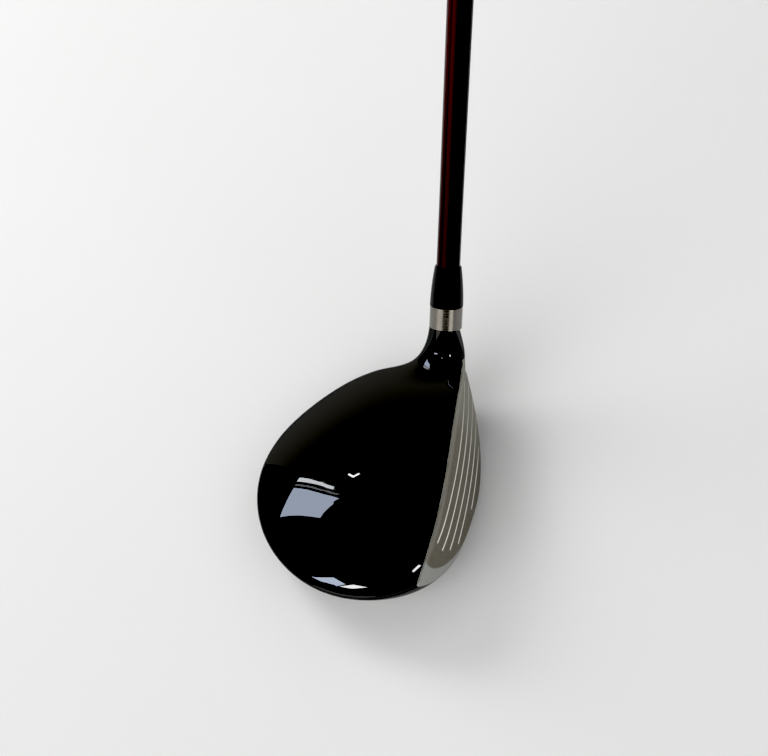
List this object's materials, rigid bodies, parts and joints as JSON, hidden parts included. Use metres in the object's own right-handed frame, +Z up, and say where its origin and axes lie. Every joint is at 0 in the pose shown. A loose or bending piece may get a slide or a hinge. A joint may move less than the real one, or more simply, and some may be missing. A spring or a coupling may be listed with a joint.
{
  "type": "fairway wood",
  "caption": "Right-handed fairway wood: hollow steel head with a black crown and scored steel face, metal neck ring, ferrule, tapered dark red graphite shaft and rubber grip.",
  "frame": {"origin": "centre of the small flat on the sole that the club rests on at address", "axes": "+X towards the target, out of the face; +Y from toe to heel, the way the shaft leans; +Z up from the ground"},
  "size_m": [0.08, 0.6911, 0.9271],
  "materials": {
    "crown_paint": "gloss",
    "sole_steel": "satin",
    "face_steel": "satin",
    "line_paint": "matte",
    "weight_steel": "satin",
    "gel": "gloss",
    "ring_metal": "satin",
    "ferrule_plastic": "satin",
    "adhesive": "satin",
    "shaft_paint": "gloss",
    "plug_brass": "satin",
    "tape": "matte",
    "grip_rubber": "matte",
    "cap_rubber": "satin"
  },
  "bodies": {
    "root": {"head_shell": "crown_paint", "sole_shell": "sole_steel", "face_plate": "face_steel", "score_line_paint": "line_paint", "alignment_mark": "line_paint", "sole_weight": "weight_steel", "tuning_gel": "gel", "hosel_ring": "ring_metal", "ferrule": "ferrule_plastic", "shaft_bond": "adhesive", "shaft": "shaft_paint", "tip_plug": "plug_brass", "grip_tape": "tape", "grip_sleeve": "grip_rubber", "grip_cap": "cap_rubber"}
  },
  "joints": []
}
